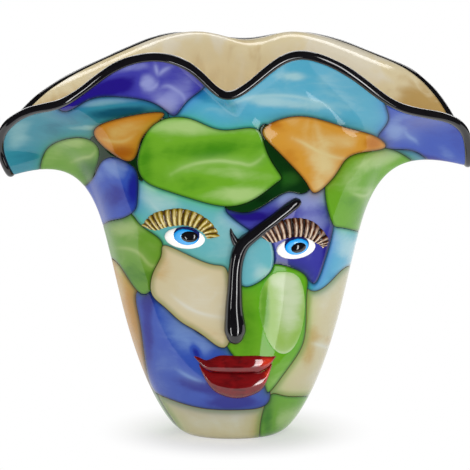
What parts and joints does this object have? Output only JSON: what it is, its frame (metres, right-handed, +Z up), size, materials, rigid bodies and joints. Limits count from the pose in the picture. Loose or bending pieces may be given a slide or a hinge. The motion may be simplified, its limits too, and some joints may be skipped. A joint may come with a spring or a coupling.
{
  "type": "face vase",
  "caption": "Handkerchief-rimmed vase of cased art glass, clad in a patchwork of coloured shards, with a black lip and a hot-laid face of nose, lashes, eyes and red lips",
  "frame": {"origin": "middle of the ground foot, on the surface the vase stands on", "axes": "+Z up through the vase, -Y the way the face looks, +X to the right of a viewer facing it"},
  "size_m": [0.356, 0.1855, 0.2988],
  "materials": {
    "amber_glass": "gloss",
    "aqua_glass": "gloss",
    "black_glass": "gloss",
    "blue_glass": "gloss",
    "brown_glass": "gloss",
    "cobalt_glass": "gloss",
    "cream_glass": "gloss",
    "forest_glass": "gloss",
    "lime_glass": "gloss",
    "opal_cream_glass": "gloss",
    "pale_lime_glass": "gloss",
    "red_glass": "gloss",
    "turquoise_glass": "gloss",
    "violet_glass": "gloss",
    "white_glass": "gloss"
  },
  "bodies": {
    "root": {"left_eye_iris": "blue_glass", "left_eye_pupil": "black_glass", "left_eye_white": "white_glass", "left_lash_comb": "amber_glass", "lip_bead": "black_glass", "lower_lip": "red_glass", "nose_and_brow_trail": "black_glass", "opal_lining": "opal_cream_glass", "right_eye_iris": "blue_glass", "right_eye_pupil": "black_glass", "right_eye_white": "white_glass", "right_lash_comb": "brown_glass", "shard_back_amber_shoulder": "amber_glass", "shard_back_aqua_left": "aqua_glass", "shard_back_band_aqua": "aqua_glass", "shard_back_cobalt_center": "cobalt_glass", "shard_back_cream_left": "cream_glass", "shard_back_heart_lime": "lime_glass", "shard_back_lime_low": "lime_glass", "shard_back_lobe_amber": "amber_glass", "shard_back_lobe_cobalt_left": "cobalt_glass", "shard_back_violet_right": "violet_glass", "shard_band_aqua_right": "aqua_glass", "shard_base_cream": "cream_glass", "shard_base_lime_left": "lime_glass", "shard_base_lime_right": "lime_glass", "shard_brow_forest": "forest_glass", "shard_cheek_cream_left": "cream_glass", "shard_cheek_lime": "lime_glass", "shard_cheek_lime_pale": "pale_lime_glass", "shard_crown_amber_left": "amber_glass", "shard_crown_amber_right": "amber_glass", "shard_eye_aqua": "aqua_glass", "shard_eye_violet": "violet_glass", "shard_forehead_lime": "lime_glass", "shard_jaw_cobalt": "cobalt_glass", "shard_lobe_violet": "violet_glass", "shard_nose_aqua": "aqua_glass", "shard_root_forest_left": "forest_glass", "shard_root_lime_left": "lime_glass", "shard_side_amber_left": "amber_glass", "shard_side_aqua_right": "aqua_glass", "shard_side_cream_right": "cream_glass", "shard_temple_cobalt": "cobalt_glass", "shard_temple_lime_left": "lime_glass", "shard_temple_lime_right": "lime_glass", "shard_tip_cobalt_right": "cobalt_glass", "shard_tip_turquoise_left": "turquoise_glass", "shard_tip_turquoise_right": "turquoise_glass", "upper_lip": "red_glass"}
  },
  "joints": []
}
